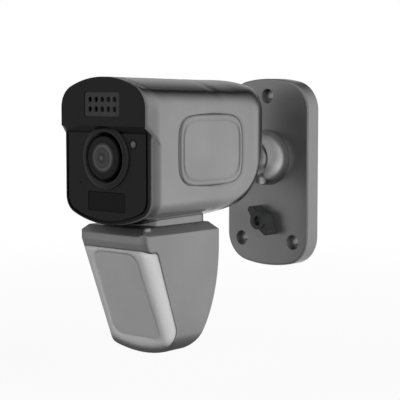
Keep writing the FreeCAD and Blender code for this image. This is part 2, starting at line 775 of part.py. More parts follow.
def front_panel():
    body = panel_shape(0, front_y, floor_y)
    body = body.cut(rod(0, lens_z, front_y - 1, floor_y + 1, ring_bore_r + 1.4))
    body = body.cut(rod(eye_x, eye_z, front_y - 1, floor_y + 1, eye_r))
    body = body.cut(rod(mic_x, mic_z, front_y - 1, floor_y + 1, mic_hole_r))
    body = body.cut(window_slab(0.4, front_y - 1, floor_y - 0.4))
    return body.cut(window_slab(-1.2, front_y - 1, floor_y + 1))


def grille_slab(grow, y0, y1):
    half = grille_width / 2 + grow
    return soft_block(-half, half, y0, y1, grille_low_z - grow, grille_high_z + grow, grille_corner, "y")


def speaker_grille():
    y0 = front_y - hood_out + grille_sink
    body = grille_slab(0, y0, y0 + grille_thick)
    mid = (grille_low_z + grille_high_z) / 2
    for i in range(grille_columns):
        for k in range(grille_rows):
            x = (i - (grille_columns - 1) / 2) * grille_pitch_x
            z = mid + (k - (grille_rows - 1) / 2) * grille_pitch_z
            body = body.cut(rod(x, z, y0 - 1, y0 + 2 * grille_thick, grille_hole_r))
    return body


def speaker():
    y0 = floor_rear_y
    body = grille_slab(0, y0, y0 + speaker_depth)
    return body.cut(grille_slab(-1.9, y0, y0 + speaker_depth - 1.2))


def speaker_cone():
    y0 = floor_rear_y + 0.8
    return grille_slab(-1.9, y0, y0 + cone_thick)


# ------------------------------------------------------------- lens
def lens_ring():
    """Tapered trim ring round the lens, with a spigot through the panel."""
    lip_y = front_y - ring_out
    profile = [(ring_base_r, front_y), (ring_base_r, front_y - ring_step), (ring_lip_r, lip_y),
               (ring_lip_r - ring_lip, lip_y), (ring_bore_r, lip_y + 0.9), (ring_bore_r, floor_rear_y),
               (ring_bore_r + 1.25, floor_rear_y), (ring_bore_r + 1.25, front_y)]
    return turned_path(profile, 0, lens_z)


barrel_front_y = front_y - barrel_out
barrel_back_y = front_y + barrel_shoulder
holder_front_y = main_front_y - 10.0
barrel_tail_y = main_front_y - 5.0
element_ys = [barrel_front_y + 7.0 + k * 5.0 for k in range(element_count)]


def lens_barrel():
    """Stepped barrel: wide nose, threaded tail, stepped bore for the glass."""
    ring_y = barrel_front_y + glass_ring_deep
    seat_y = ring_y + glass_thick
    profile = [(glass_bezel_r, barrel_front_y), (barrel_r - 0.5, barrel_front_y),
               (barrel_r, barrel_front_y + 0.5), (barrel_r, barrel_back_y), (barrel_tail_r, barrel_back_y),
               (barrel_tail_r, barrel_tail_y), (element_r, barrel_tail_y), (element_r, seat_y + 1.0),
               (glass_r - 1.0, seat_y), (glass_r, seat_y), (glass_r, ring_y), (glass_bezel_r, ring_y)]
    return turned_path(profile, 0, lens_z)


def glass_ring():
    """Bright ring that holds the front glass in the barrel."""
    y0 = barrel_front_y - 0.15
    y1 = barrel_front_y + glass_ring_deep
    outer = glass_bezel_r - 0.02
    profile = [(outer, y0 + 0.2), (outer, y1), (glass_r - 0.2, y1), (glass_r - 0.2, y0 + 0.7),
               (glass_r + 0.3, y0), (outer - 0.2, y0)]
    return turned_path(profile, 0, lens_z)


def lens_front_glass():
    """Domed outer lens element, seated behind its ring."""
    back_y = barrel_front_y + glass_ring_deep + glass_thick
    sag = glass_bulge - math.sqrt(glass_bulge ** 2 - glass_r ** 2)
    peak_y = barrel_front_y + glass_ring_deep - sag + 0.2
    ball = Part.makeSphere(glass_bulge, at(0, peak_y + glass_bulge, lens_z))
    return rod(0, lens_z, peak_y, back_y, glass_r - 0.02).common(ball)


def lens_elements():
    return Part.makeCompound([rod(0, lens_z, y, y + element_thick, element_r) for y in element_ys])


def lens_holder():
    half = holder_side / 2
    base_y = main_front_y - holder_base
    base = soft_block(-half, half, base_y, main_front_y, lens_z - half, lens_z + half, holder_corner, "y")
    body = base.fuse(rod(0, lens_z, holder_front_y, base_y + 1, barrel_tail_r + holder_wall))
    body = body.cut(rod(0, lens_z, holder_front_y - 1, barrel_tail_y, barrel_tail_r + 0.02))
    pocket_y = main_front_y - sensor_room
    body = body.cut(rod(0, lens_z, barrel_tail_y, pocket_y, element_r))
    pocket = sensor_side / 2 + sensor_gap
    return body.cut(block(-pocket, pocket, pocket_y, main_front_y, lens_z - pocket, lens_z + pocket))


def image_sensor():
    half = sensor_side / 2
    return block(-half, half, main_front_y - sensor_thick, main_front_y, lens_z - half, lens_z + half)


# ------------------------------------------------------------- boards
def front_board():
    half = front_board_width / 2
    y0, y1 = front_board_y, front_board_y + board_thick
    body = soft_block(-half, half, y0, y1, front_board_low, front_board_high, front_board_corner, "y")
    body = body.common(front_outline(skirt_inset + skirt_wall + board_clear, y0, y1))
    body = body.cut(rod(0, lens_z, y0 - 1, y1 + 1, barrel_r + 1.0))
    for x, z in posts_at:
        body = body.cut(rod(x, z, y0 - 1, y1 + 1, post_r + 0.1))
    return body


def main_board():
    half = main_board_width / 2
    body = soft_block(-half, half, main_front_y, main_rear_y, main_board_low, main_board_high, 3.0, "y")
    for x, z in posts_at:
        body = body.cut(rod(x, z, main_front_y - 1, main_rear_y + 1, board_screw_r + 0.1))
    return body


def board_screws():
    tip_y = main_front_y - board_screw_grip + 0.3
    return Part.makeCompound([screw(x, z, main_rear_y, tip_y, board_screw_r - 0.02, board_screw_head_r,
                                    board_screw_head) for x, z in posts_at])


def shield_can():
    half = shield_side / 2
    mid = (main_board_low + main_board_high) / 2 + 8
    body = soft_block(-half, half, main_rear_y, main_rear_y + shield_high, mid - half, mid + half, 1.0, "y")
    return body


def eye_window():
    """Light guide of the dusk sensor: a disc flush with the panel and a stem behind it."""
    face = rod(eye_x, eye_z, front_y, floor_y, eye_r - 0.35)
    stem = rod(eye_x, eye_z, floor_y - 0.1, front_board_y - 0.9, eye_r - 0.62)
    return face.fuse(stem)


def eye_sensor():
    return block(eye_x - 1.4, eye_x + 1.4, front_board_y - 0.8, front_board_y, eye_z - 1.0, eye_z + 1.0)


def microphone():
    return block(mic_x - 1.9, mic_x + 1.9, front_board_y - 1.1, front_board_y, mic_z - 1.5, mic_z + 1.5)


def mic_seal():
    return ring(mic_x, mic_z, floor_rear_y, front_board_y - 1.1, 1.8, mic_hole_r + 0.3)


def motion_window():
    return window_slab(0, front_y + 0.15, floor_y - 0.4)


pir_z = (window_low + window_high) / 2


def motion_sensor():
    can = rod(0, pir_z, front_board_y - pir_height, front_board_y, pir_r - 0.5)
    rim = rod(0, pir_z, front_board_y - 0.5, front_board_y, pir_r)
    return can.fuse(rim).cut(block(-1.8, 1.8, front_board_y - pir_height, front_board_y - pir_height + 0.3,
                                   pir_z - 1.3, pir_z + 1.3))


def night_leds():
    parts = []
    for side in (-1, 1):
        x = side * night_led_x
        stem = rod(x, pir_z, front_board_y - 1.6, front_board_y, night_led_r)
        parts.append(stem.fuse(Part.makeSphere(night_led_r, at(x, front_board_y - 1.6, pir_z))))
    return Part.makeCompound(parts)


def front_seal():
    """Rubber frame between the front moulding's floor and the housing's ledge."""
    y1 = floor_rear_y + 0.2
    y0 = floor_rear_y
    return front_outline(rim_ledge + slip, y0, y1).cut(front_outline(skirt_inset, y0 - 1, y1 + 1))


# ------------------------------------------------------------- power


def battery_cells():
    cells = []
    for side in (-1, 1):
        body = rod(side * cell_x, cell_z, cell_front_y + cell_tip, cell_rear_y, cell_r)
        cells.append(body.fuse(rod(side * cell_x, cell_z, cell_front_y, cell_front_y + cell_tip, cell_tip_r)))
    return Part.makeCompound(cells)


def battery_cradle():
    """Two half-round troughs with end walls, joined by a web and standing on two feet."""
    y0, y1 = cell_front_y - cradle_cap, cell_rear_y + cradle_cap
    outer_r = cell_r + cradle_wall
    body = block(-cell_x, cell_x, y0, y1, cell_z - cell_r * 0.8, cell_z)
    for side in (-1, 1):
        body = body.fuse(rod(side * cell_x, cell_z, y0, y1, outer_r))
        for y in (y0, y0 + foot_pitch):
            x = side * cell_x
            foot = block(x - foot_wide / 2, x + foot_wide / 2, y, y + foot_long, bottom_z, cell_z - cell_r)
            body = body.fuse(foot)
    body = body.cut(block(-half_width, half_width, y0 - 1, y1 + 1, cell_z, top_z))
    body = body.common(housing_volume(shell_wall + slip, front_y + 2))
    for side in (-1, 1):
        body = body.cut(rod(side * cell_x, cell_z, cell_front_y, cell_rear_y, cell_r + 0.05))
        body = body.cut(rod(side * cell_x, cell_z, cell_front_y - 1.0, cell_front_y, cell_tip_r + 0.1))
    return body


def tray_slab(z0, z1):
    half = half_width - shell_wall - 0.4
    return block(-half, half, front_y + tray_front, front_y + tray_front + tray_length, z0, z1)


tray_screws_at = [(s * (half_width - shell_wall - rail_width / 2), front_y + tray_front + y)
                  for s in (-1, 1) for y in (6.0, 42.0)]
board_corner = [(s * (power_board_width / 2 - corner_inset_x), board_front_y + y) for s in (-1, 1)
                for y in (corner_inset_y, power_board_length - corner_inset_y)]
power_z = tray_z + tray_thick + power_post
inlet_z = power_z + board_thick + inlet_high / 2


def power_tray():
    """Shelf across the housing: it rests on the two rails and carries the power board."""
    body = tray_slab(tray_z, tray_z + tray_thick).common(housing_volume(shell_wall + 0.3, front_y + 2))
    for x, y in board_corner:
        body = body.fuse(drop(x, y, tray_z + tray_thick - 0.2, power_z, 2.2))
    for x, y in tray_screws_at:
        body = body.cut(drop(x, y, tray_z - 1, tray_z + tray_thick + 1, 1.1))
    return body


def tray_screws():
    parts = []
    for x, y in tray_screws_at:
        head = drop(x, y, tray_z + tray_thick, tray_z + tray_thick + 1.2, 1.9)
        parts.append(head.fuse(drop(x, y, tray_z, tray_z + tray_thick, 1.05)))
    return Part.makeCompound(parts)


def power_board():
    half = power_board_width / 2
    y0 = board_front_y
    return soft_block(-half, half, y0, y0 + power_board_length, power_z, power_z + board_thick, 2.0, "z")


def inlet_slot(width, high, y0, y1):
    half, up = width / 2, high / 2
    return soft_block(-half, half, y0, y1, inlet_z - up, inlet_z + up, up - 0.05, "y")


def power_inlet():
    y1 = camera_rear_y - 1.3
    shell = inlet_slot(inlet_width, inlet_high, y1 - inlet_length, y1)
    return shell.cut(inlet_slot(inlet_width - 0.8, inlet_high - 0.8, y1 - inlet_length + 1, y1))


def inlet_bracket():
    """Short daughter board that brings the inlet from the power board to the rear wall."""
    y0 = board_front_y + power_board_length
    y1 = camera_rear_y - shell_wall - 1.5
    return block(-7, 7, y0, y1, power_z, power_z + board_thick)


def inlet_plug():
    plate = inlet_slot(plug_width - 0.3, plug_high - 0.3, camera_rear_y - 1.0, camera_rear_y + 0.2)
    nose = inlet_slot(inlet_width - 1.0, inlet_high - 1.0, camera_rear_y - 3.4, camera_rear_y - 0.9)
    return plate.fuse(nose)


def antenna():
    z1 = top_z - top_fall - shell_wall - 0.35
    y0 = front_y + 34
    half = antenna_width / 2
    return block(-half, half, y0, y0 + antenna_length, z1 - antenna_thick, z1)


# ------------------------------------------------------------- lamp
lamp_front_y = front_y + lamp_front
lamp_rear_y = front_y + lamp_rear
lamp_brow_z = lamp_top - lamp_chamfer - lamp_brow
slant = math.tan(math.radians(lamp_slant))
neck_screws_at = [(s * (neck_half - neck_screw_x), front_y + neck_front + y) for s in (-1, 1)
                  for y in (neck_screw_y, neck_length - neck_screw_y)]


def face_y_at(z):
    """Y of the lamp's slanted face at a height."""
    return lamp_front_y + (lamp_brow_z - z) * slant


def side_profile(inset):
    """Side view of the lamp: brow, slanted face, elliptical back, chamfered top."""
    lean = math.radians(lamp_slant)
    step = inset / math.cos(lean)
    low = lamp_bottom + inset
    front = lamp_front_y + inset
    rear = lamp_rear_y - inset
    top = lamp_top - inset
    cut = lamp_chamfer - inset * 0.6
    knee_z = lamp_brow_z + (step - inset) / slant
    toe = at(0, face_y_at(low) + step, low)
    belly = at(0, front_y + lamp_belly_y, low)
    heel = at(0, rear, lamp_heel_z)
    middle = at(0, belly.y, heel.z)
    wide, tall = heel.sub(middle), belly.sub(middle)
    major, minor = (tall, wide) if tall.Length >= wide.Length else (wide, tall)
    oval = Part.Ellipse(middle.add(major), middle.add(minor), middle)
    back = Part.ArcOfEllipse(oval, 0, math.pi / 2).toShape()
    edges = [line(at(0, front + cut, top), at(0, front, top - cut)),
             line(at(0, front, top - cut), at(0, front, knee_z)),
             line(at(0, front, knee_z), toe), line(toe, belly), back,
             line(heel, at(0, rear, top - cut)), line(at(0, rear, top - cut), at(0, rear - cut, top)),
             line(at(0, rear - cut, top), at(0, front + cut, top))]
    return joined(edges)


def lamp_volume(inset):
    """Side profile carried across, met by the arched front view with chamfered shoulders."""
    half = lamp_half - inset
    side = Part.Face(side_profile(inset))
    side.translate(at(-half, 0, 0))
    bar = side.extrude(at(2 * half, 0, 0))
    top = lamp_top - inset
    cut = lamp_chamfer - inset * 0.6
    y0, y1 = lamp_front_y - 1, lamp_rear_y + 1
    low, low_side = cap_edges(half, lamp_bottom + inset, lamp_crown - inset, lamp_corner - inset, y0, -1)
    sides = []
    for s in (-1, 1):
        sides.append(line(at(s * half, y0, low_side), at(s * half, y0, top - cut)))
        sides.append(line(at(s * half, y0, top - cut), at(s * (half - cut), y0, top)))
    sides.append(line(at(-half + cut, y0, top), at(half - cut, y0, top)))
    front = Part.Face(joined(low + sides)).extrude(at(0, y1 - y0, 0))
    body = bar.common(front)
    knee = lamp_brow_z
    upper = lamp_plan(half, lamp_front_y + inset, max(lamp_round - inset, 0.6), knee)
    upper = upper.extrude(at(0, 0, 2 * (lamp_top - lamp_brow_z)))
    deep = knee - lamp_bottom + 5
    step = inset / math.cos(math.radians(lamp_slant))
    lower = lamp_plan(half, lamp_front_y + step, max(lamp_round - inset, 0.6), knee)
    return body.common(upper.fuse(lower.extrude(at(0, deep * slant, -deep))))


def lamp_plan(half, y, r, z):
    """Plan view of the lamp with round front corners, open-ended towards the wall."""
    bow = r * (1 - math.cos(math.radians(45)))
    rear = lamp_rear_y + lamp_rear
    points = [at(-half, rear, z), at(-half, y + r, z), at(-half + r, y, z), at(half - r, y, z),
              at(half, y + r, z), at(half, rear, z)]
    edges = [line(points[0], points[1]), arc(points[1], at(-half + bow, y + bow, z), points[2]),
             line(points[2], points[3]), arc(points[3], at(half - bow, y + bow, z), points[4]),
             line(points[4], points[5]), line(points[5], points[0])]
    return Part.Face(joined(edges))


def glow_region(grow):
    """Space of the light cover: a slanted slab with rounded rear corners, arched below."""
    z1 = lamp_brow_z - glow_top + grow
    z0 = lamp_bottom - 4
    wide = lamp_half + 2
    a = at(-wide, face_y_at(z1) - 4, z1)
    b = at(-wide, face_y_at(z1) + glow_wrap + grow, z1)
    c = at(-wide, face_y_at(z0) + glow_wrap_low + grow, z0)
    d = at(-wide, face_y_at(z0) - 4, z0)
    slab = Part.Face(Part.makePolygon([a, b, c, d, a])).extrude(at(2 * wide, 0, 0))
    upper = [e for e in slab.Edges if e.BoundBox.XLength > wide and abs(e.CenterOfMass.y - b.y) < 1e-3]
    slab = slab.makeFillet(glow_corner, upper)
    arch = arched_slab(wide, lamp_bottom + glow_chin - grow, lamp_top + 5, lamp_crown, lamp_corner + 2,
                       lamp_front_y - 10, lamp_rear_y + 10)
    body = slab.common(arch)
    rear = (b.y - c.y) / (z1 - z0)
    low = []
    for e in body.Edges:
        ends = [v.Point for v in e.Vertexes]
        if all(abs(b.y - (z1 - p.z) * rear - p.y) < 1e-3 and p.z < lamp_bottom + 30 for p in ends):
            low.append(e)
    return body.makeFillet(glow_corner_low, [e for e in low if e.BoundBox.XLength > 1.0])


def on_face(body):
    """Turn a piece drawn upright at the face's top edge onto the slanted face."""
    z1 = lamp_brow_z - glow_top
    body.rotate(at(0, face_y_at(z1), z1), at(1, 0, 0), lamp_slant)
    return body


def pane_slab(grow, d0, d1):
    """Rounded pane, drawn upright, from depth d0 to d1 behind the face."""
    z1 = lamp_brow_z - glow_top
    y0 = face_y_at(z1) + d0
    top = z1 - pane_start + grow
    low = z1 - pane_start - pane_high - grow
    points = [at(-pane_half_top - grow, y0, top), at(pane_half_top + grow, y0, top),
              at(pane_half_low + grow, y0, low), at(-pane_half_low - grow, y0, low)]
    body = Part.Face(Part.makePolygon(points + points[:1])).extrude(at(0, d1 - d0, 0))
    edges = [e for e in body.Edges if abs(e.tangentAt(e.FirstParameter).y) > 0.99]
    return on_face(body.makeFillet(pane_corner + grow, edges))


def upright(x0, x1, d0, d1, down0, down1):
    """Block on the slanted face: depth behind it and distance down from its top edge."""
    z1 = lamp_brow_z - glow_top
    y0 = face_y_at(z1)
    return on_face(block(x0, x1, y0 + d0, y0 + d1, z1 - down1, z1 - down0))


def lamp_housing():
    outer = lamp_volume(0)
    body = outer.cut(lamp_volume(lamp_wall))
    body = body.cut(glow_region(slip))
    lug_x = neck_half - 3.5
    lug_y = front_y + neck_front - 6.3
    lug = soft_block(lug_x, lug_x + lug_width, lug_y, lug_y + lug_depth, lamp_top - lug_high, lamp_top + 0.2,
                     0.8, "z")
    body = body.fuse(lug)
    for x, y in driver_posts_at():
        body = body.fuse(drop(x, y, driver_z, lamp_top - lamp_wall + 0.4, 2.0))
    body = body.cut(neck_channel(lamp_top - lamp_wall - 1, lamp_top + 1))
    for x, y in neck_screws_at:
        body = body.cut(drop(x, y, lamp_top - lamp_wall - 1, lamp_top + 1, fix_screw_r - 0.1))
    return body


def light_cover():
    """Frosted cover that wraps round the lamp's front corners, open for the pane."""
    body = lamp_volume(0).cut(lamp_volume(glow_wall)).common(glow_region(0))
    body = body.cut(pane_slab(0.08, -3, glow_wall + 3))
    return max(body.Solids, key=lambda s: s.Volume)


def light_pane():
    return pane_slab(0, 0, glow_wall)


def reflector():
    """White light box between the pane and the LED board."""
    outer = pane_slab(tray_wall, glow_wall + 0.15, led_gap)
    return outer.cut(pane_slab(-0.4, glow_wall - 1, led_gap + 1))


led_start = pane_start + (pane_high - led_board_high) / 2


def led_board():
    return upright(-led_board_half, led_board_half, led_gap, led_gap + led_board_thick, led_start,
                   led_start + led_board_high)


def leds():
    chips = []
    for i in range(led_columns):
        for k in range(led_rows):
            x = (i - (led_columns - 1) / 2) * led_pitch_x
            down = led_start + led_board_high / 2 + (k - (led_rows - 1) / 2) * led_pitch_z
            chips.append(upright(x - led_width / 2, x + led_width / 2, led_gap - led_thick, led_gap,
                                 down - led_high / 2, down + led_high / 2))
    return Part.makeCompound(chips)


def heat_sink():
    d0 = led_gap + led_board_thick
    body = upright(-pane_half_top - 0.5, pane_half_top + 0.5, d0, d0 + sink_base, led_start - 1.0,
                   led_start + led_board_high + 1.0)
    span = led_board_half - sink_fin / 2
    for k in range(sink_fins):
        x = -span + 2 * span * k / (sink_fins - 1)
        root = d0 + sink_base
        fin = upright(x - sink_fin / 2, x + sink_fin / 2, root - 0.2, root + sink_fin_deep,
                      led_start + fin_inset, led_start + led_board_high - fin_inset)
        body = body.fuse(fin)
    return body


driver_z = lamp_top - lamp_wall - 5.0
driver_y = front_y + neck_front + 5.0


def lamp_driver():
    return soft_block(-driver_half, driver_half, driver_y, driver_y + driver_length, driver_z - driver_thick,
                      driver_z, 2.0, "z")


def driver_posts_at():
    return [(s * (driver_half - 3), driver_y + y) for s in (-1, 1) for y in (3.0, driver_length - 3.0)]


# ------------------------------------------------------------- neck
def neck_slab(grow, z0, z1):
    y0 = front_y + neck_front - grow
    y1 = front_y + neck_front + neck_length + grow
    half = neck_half + grow
    return soft_block(-half, half, y0, y1, z0, z1, neck_corner + grow, "z")


def neck_channel(z0, z1):
    """Opening for the lamp lead through housing, neck and lamp top."""
    y0 = front_y + neck_front + neck_wall + 4
    return soft_block(-6, 6, y0, y0 + 9, z0, z1, 2.0, "z")


def lamp_neck():
    """Saddle between the lamp's flat top and the housing's arched underside."""
    body = neck_slab(0, lamp_top, bottom_z + 6)
    body = body.cut(housing_volume(0, front_y + rim_step))
    body = body.cut(neck_channel(lamp_top - 1, bottom_z + 8))
    for x, y in neck_screws_at:
        body = body.cut(drop(x, y, lamp_top - 1, bottom_z + 8, fix_screw_r + 0.1))
    return body


def neck_screws():
    """Screws from inside the camera, through the neck, into the lamp's top."""
    parts = []
    for x, y in neck_screws_at:
        sag = shell_crown - math.sqrt(shell_crown ** 2 - (abs(x) + fix_head_r) ** 2)
        seat = bottom_z + shell_wall + sag + 0.2
        head = drop(x, y, seat, seat + fix_head, fix_head_r)
        parts.append(head.fuse(drop(x, y, lamp_top - lamp_wall - 0.8, seat, fix_screw_r - 0.12)))
    return Part.makeCompound(parts)


def lamp_lead():
    """Two insulated wires from the lamp driver up through the neck to the camera."""
    y = main_rear_y + lead_r
    return Part.makeCompound([drop(s * lead_x, y, driver_z, main_board_low + 5, lead_r) for s in (-1, 1)])


# ------------------------------------------------------------- write the pieces
pieces = {
    "wall_plate": wall_plate, "back_cover": back_cover, "cover_screws": cover_screws,
    "socket_dome": socket_dome, "ball_stud": ball_stud, "lock_nut": lock_nut,
    "clamp_lever": clamp_lever, "clamp_nut": clamp_nut, "wing_knob": wing_knob, "clamp_screw": clamp_screw,
    "body_shell": body_shell, "side_cover_left": lambda: side_cover(-1),
    "side_cover_right": lambda: side_cover(1), "stud_insert": stud_insert,
    "front_bezel": front_bezel, "front_panel": front_panel, "front_seal": front_seal,
    "speaker_grille": speaker_grille, "speaker": speaker, "speaker_cone": speaker_cone,
    "lens_ring": lens_ring, "lens_barrel": lens_barrel, "glass_ring": glass_ring,
    "lens_front_glass": lens_front_glass,
    "lens_elements": lens_elements, "lens_holder": lens_holder, "image_sensor": image_sensor,
    "front_board": front_board, "main_board": main_board, "board_screws": board_screws,
    "shield_can": shield_can,
    "eye_window": eye_window, "eye_sensor": eye_sensor, "microphone": microphone, "mic_seal": mic_seal,
    "motion_window": motion_window, "motion_sensor": motion_sensor, "night_leds": night_leds,
    "battery_cells": battery_cells, "battery_cradle": battery_cradle, "power_tray": power_tray,
    "tray_screws": tray_screws, "power_board": power_board, "power_inlet": power_inlet,
    "inlet_bracket": inlet_bracket, "inlet_plug": inlet_plug, "antenna": antenna,
    "lamp_neck": lamp_neck, "neck_screws": neck_screws, "lamp_housing": lamp_housing,
    "light_cover": light_cover, "light_pane": light_pane, "reflector": reflector,
    "led_board": led_board, "leds": leds, "heat_sink": heat_sink, "lamp_driver": lamp_driver,
    "lamp_lead": lamp_lead,
}

os.makedirs("parts", exist_ok=True)
for name, make in pieces.items():
    shape = make()
    shape.exportStep("parts/" + name + ".step")
    print(name, len(shape.Solids), round(shape.Volume, 1))
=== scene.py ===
import math

import bpy
import numpy as np
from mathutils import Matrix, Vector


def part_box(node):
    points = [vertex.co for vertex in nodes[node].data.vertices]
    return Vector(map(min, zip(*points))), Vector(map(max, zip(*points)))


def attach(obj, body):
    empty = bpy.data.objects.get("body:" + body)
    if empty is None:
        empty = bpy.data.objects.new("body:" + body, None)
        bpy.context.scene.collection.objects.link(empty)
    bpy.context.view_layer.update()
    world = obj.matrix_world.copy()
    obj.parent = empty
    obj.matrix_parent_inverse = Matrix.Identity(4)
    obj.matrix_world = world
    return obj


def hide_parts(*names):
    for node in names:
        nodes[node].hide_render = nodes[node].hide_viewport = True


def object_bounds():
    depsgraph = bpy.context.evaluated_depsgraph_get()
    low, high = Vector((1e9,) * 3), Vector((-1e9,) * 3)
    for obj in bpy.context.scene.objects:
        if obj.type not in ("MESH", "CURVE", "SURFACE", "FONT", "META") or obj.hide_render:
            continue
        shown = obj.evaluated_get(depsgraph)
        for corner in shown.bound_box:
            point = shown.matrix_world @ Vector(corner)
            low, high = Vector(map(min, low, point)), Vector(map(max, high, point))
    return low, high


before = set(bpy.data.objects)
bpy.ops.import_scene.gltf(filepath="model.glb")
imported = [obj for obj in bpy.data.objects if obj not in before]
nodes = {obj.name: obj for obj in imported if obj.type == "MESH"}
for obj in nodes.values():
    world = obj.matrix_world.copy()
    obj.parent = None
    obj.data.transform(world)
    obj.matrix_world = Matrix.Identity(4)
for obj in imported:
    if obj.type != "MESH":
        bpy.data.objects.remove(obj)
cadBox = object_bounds()
scene = bpy.context.scene
scene.view_settings.view_transform = "Standard"


def linear(hexColour):
    # sRGB hex to linear light, one channel at a time
    raw = [int(hexColour[i:i + 2], 16) / 255 for i in (0, 2, 4)]
    return tuple(c / 12.92 if c <= 0.04045 else ((c + 0.055) / 1.055) ** 2.4 for c in raw) + (1.0,)


def addNode(tree, kind, settings=None, links=None):
    # settings: property or input name -> value; links: input name -> output socket
    node = tree.nodes.new(kind)
    for name, value in (settings or {}).items():
        if name in node.inputs:
            node.inputs[name].default_value = value
        else:
            setattr(node, name, value)
    for name, socket in (links or {}).items():
        tree.links.new(socket, node.inputs[name])
    return node


def newMaterial(name):
    mat = bpy.data.materials.new(name)
    mat.use_nodes = True
    mat.node_tree.nodes.clear()
    return mat, mat.node_tree


def finishMaterial(tree, shader):
    out = tree.nodes.new("ShaderNodeOutputMaterial")
    tree.links.new(shader.outputs[0], out.inputs["Surface"])


def setStops(ramp, stops):
    # stops: place from 0 to 1 and linear colour, in order
    elements = ramp.color_ramp.elements
    while len(elements) < len(stops):
        elements.new(0.5)
    for element, (place, colour) in zip(elements, stops):
        element.position = place
        element.color = colour


def greys(stops):
    return [(place, (level, level, level, 1)) for place, level in stops]


def dress(nodeName, material):
    mesh = nodes[nodeName].data
    mesh.materials.clear()
    mesh.materials.append(material)


# camera: metres and degrees, lens and sensor in mm
cameraSpec = {"place": (0.4693, -0.6072, 0.05115), "azimuth": 41.12, "down": 5.08, "lens": 116.56,
              "sensor": 36.0, "nearest": 0.01}
camData = bpy.data.cameras.new("camera")
camData.lens = cameraSpec["lens"]
camData.sensor_width = cameraSpec["sensor"]
camData.clip_start = cameraSpec["nearest"]
cam = bpy.data.objects.new("camera", camData)
cam.location = cameraSpec["place"]
cam.rotation_euler = (math.radians(90 - cameraSpec["down"]), 0, math.radians(cameraSpec["azimuth"]))
scene.collection.objects.link(cam)
scene.camera = cam
print("camera set")

# two soft discs aimed at the origin: they light the mouldings and stay out of the metal's reflections
lampSpec = {
    "right": {"place": (1.3, -0.35, 0.1), "size": 1.0, "watts": 26.0},
    "front": {"place": (-0.35, -1.4, 0.35), "size": 1.1, "watts": 9.0},
}
for lampName, spec in lampSpec.items():
    lamp = bpy.data.lights.new(lampName, "AREA")
    lamp.shape = "DISK"
    lamp.size = spec["size"]
    lamp.energy = spec["watts"]
    lampObject = bpy.data.objects.new(lampName, lamp)
    x, y, z = spec["place"]
    lampObject.location = spec["place"]
    lampObject.rotation_euler = (math.atan2(math.hypot(x, y), z), 0, math.atan2(x, -y))
    lampObject.visible_glossy = False
    scene.collection.objects.link(lampObject)
print("lamps set")

# world: white to the eye; metal sees a pale horizon and a long dark flag over the object, towards the wall
worldSpec = {
    "brightest": (0.17, 0.98, 0.0),
    # level of the horizon, by half of 1 + the dot product with the brightest heading
    "around": [(0.0, 0.6), (0.49, 0.34), (0.78, 0.9), (0.9, 1.0), (0.985, 0.86)],
    # how much of it the flag lets by, by the angle over the object as a share of a half turn
    "arch": [(0.0, 1.0), (0.2, 0.93), (0.28, 0.8), (0.44, 0.36), (0.54, 0.12), (0.63, 0.0), (0.7, 0.04),
             (0.76, 0.24), (0.8, 0.46), (0.86, 0.54), (1.0, 0.6)],
    "flagFrom": -0.2, "flagTo": 0.5,                # the flag fades in along Y
    "ambient": "b9b9b9", "ambientStrength": 0.55,   # what lights everything that isn't a mirror
}


def horizonLevel(tree, heading):
    # grey level of the horizon that metal sees in a direction
    toward = addNode(tree, "ShaderNodeVectorMath", {"operation": "DOT_PRODUCT"}, {0: heading})
    toward.inputs[1].default_value = worldSpec["brightest"]
    half = addNode(tree, "ShaderNodeMapRange", {"From Min": -1.0, "From Max": 1.0},
                   {"Value": toward.outputs["Value"]})
    around = addNode(tree, "ShaderNodeValToRGB", links={"Fac": half.outputs["Result"]})
    setStops(around, greys(worldSpec["around"]))
    return around.outputs["Color"]


def rayKinds(tree):
    # what the eye sees directly, and what metal and glass see
    path = addNode(tree, "ShaderNodeLightPath")
    shiny = addNode(tree, "ShaderNodeMath", {"operation": "MAXIMUM"},
                    {0: path.outputs["Is Glossy Ray"], 1: path.outputs["Is Transmission Ray"]})
    return path.outputs["Is Camera Ray"], shiny.outputs["Value"]


def mix(tree, share, first, second):
    return addNode(tree, "ShaderNodeMixShader", {}, {0: share, 1: first.outputs[0], 2: second.outputs[0]})


world = bpy.data.worlds.new("studio")
world.use_nodes = True
scene.world = world
tree = world.node_tree
tree.nodes.clear()
coords = addNode(tree, "ShaderNodeTexCoord")
split = addNode(tree, "ShaderNodeSeparateXYZ", links={"Vector": coords.outputs["Generated"]})
overhead = addNode(tree, "ShaderNodeMath", {"operation": "ARCTAN2"},
                   {0: split.outputs["Z"], 1: split.outputs["X"]})
turn = addNode(tree, "ShaderNodeMapRange", {"From Max": math.pi}, {"Value": overhead.outputs["Value"]})
arch = addNode(tree, "ShaderNodeValToRGB", links={"Fac": turn.outputs["Result"]})
setStops(arch, greys(worldSpec["arch"]))
flag = addNode(tree, "ShaderNodeMapRange",
               {"From Min": worldSpec["flagFrom"], "From Max": worldSpec["flagTo"]},
               {"Value": split.outputs["Y"]})
lost = addNode(tree, "ShaderNodeMath", {"operation": "SUBTRACT"}, {0: arch.outputs["Color"]})
lost.inputs[1].default_value = 1.0
kept = addNode(tree, "ShaderNodeMath", {"operation": "MULTIPLY_ADD"},
               {0: lost.outputs["Value"], 1: flag.outputs["Result"]})
kept.inputs[2].default_value = 1.0
mirrored = addNode(tree, "ShaderNodeMath", {"operation": "MULTIPLY"},
                   {0: horizonLevel(tree, coords.outputs["Generated"]), 1: kept.outputs["Value"]})
eyeRay, shinyRay = rayKinds(tree)
ambient = addNode(tree, "ShaderNodeBackground",
                  {"Color": linear(worldSpec["ambient"]), "Strength": worldSpec["ambientStrength"]})
horizon = addNode(tree, "ShaderNodeBackground", {"Color": (1, 1, 1, 1)},
                  {"Strength": mirrored.outputs["Value"]})
white = addNode(tree, "ShaderNodeBackground", {"Color": (1, 1, 1, 1), "Strength": 1.0})
